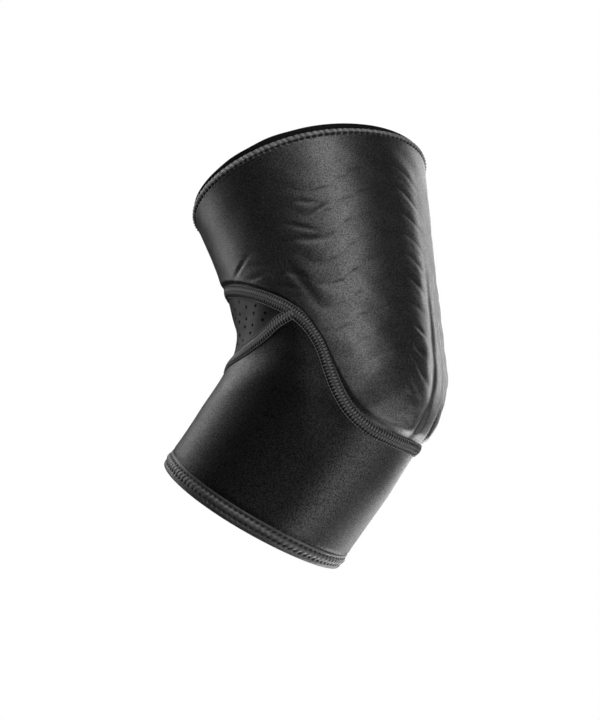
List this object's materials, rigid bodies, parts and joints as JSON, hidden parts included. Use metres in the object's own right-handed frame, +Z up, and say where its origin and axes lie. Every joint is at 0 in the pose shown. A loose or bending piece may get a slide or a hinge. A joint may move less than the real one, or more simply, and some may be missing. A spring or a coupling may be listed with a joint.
{
  "type": "elbow brace",
  "caption": "Pull-on padded elbow sleeve, pre-bent: ribbed padded upper panel, knitted forearm tube, perforated crook panel and turned hems.",
  "frame": {"origin": "the middle of the hollow at the elbow, where the joint of the arm sits; the arm holds the brace there", "axes": "+Z up the upper arm side, +X to the back (point) of the elbow, the bend lies in the XZ plane and Y runs across it"},
  "size_m": [0.1385, 0.1096, 0.1975],
  "materials": {
    "quilted_jersey": "matte charcoal jersey over foam, quilted",
    "knit": "matte black twill knit",
    "vent_cloth": "smooth black cloth with punched holes",
    "overlocked_edge": "overlocked charcoal edge",
    "lining": "black inner cloth",
    "turned_edge": "turned black edge with needle rows"
  },
  "bodies": {
    "root": {"upper_panel": "quilted_jersey", "lower_panel": "knit", "vent_panel": "vent_cloth", "upper_hem": "overlocked_edge", "upper_lip": "lining", "lower_hem": "turned_edge"}
  },
  "joints": []
}
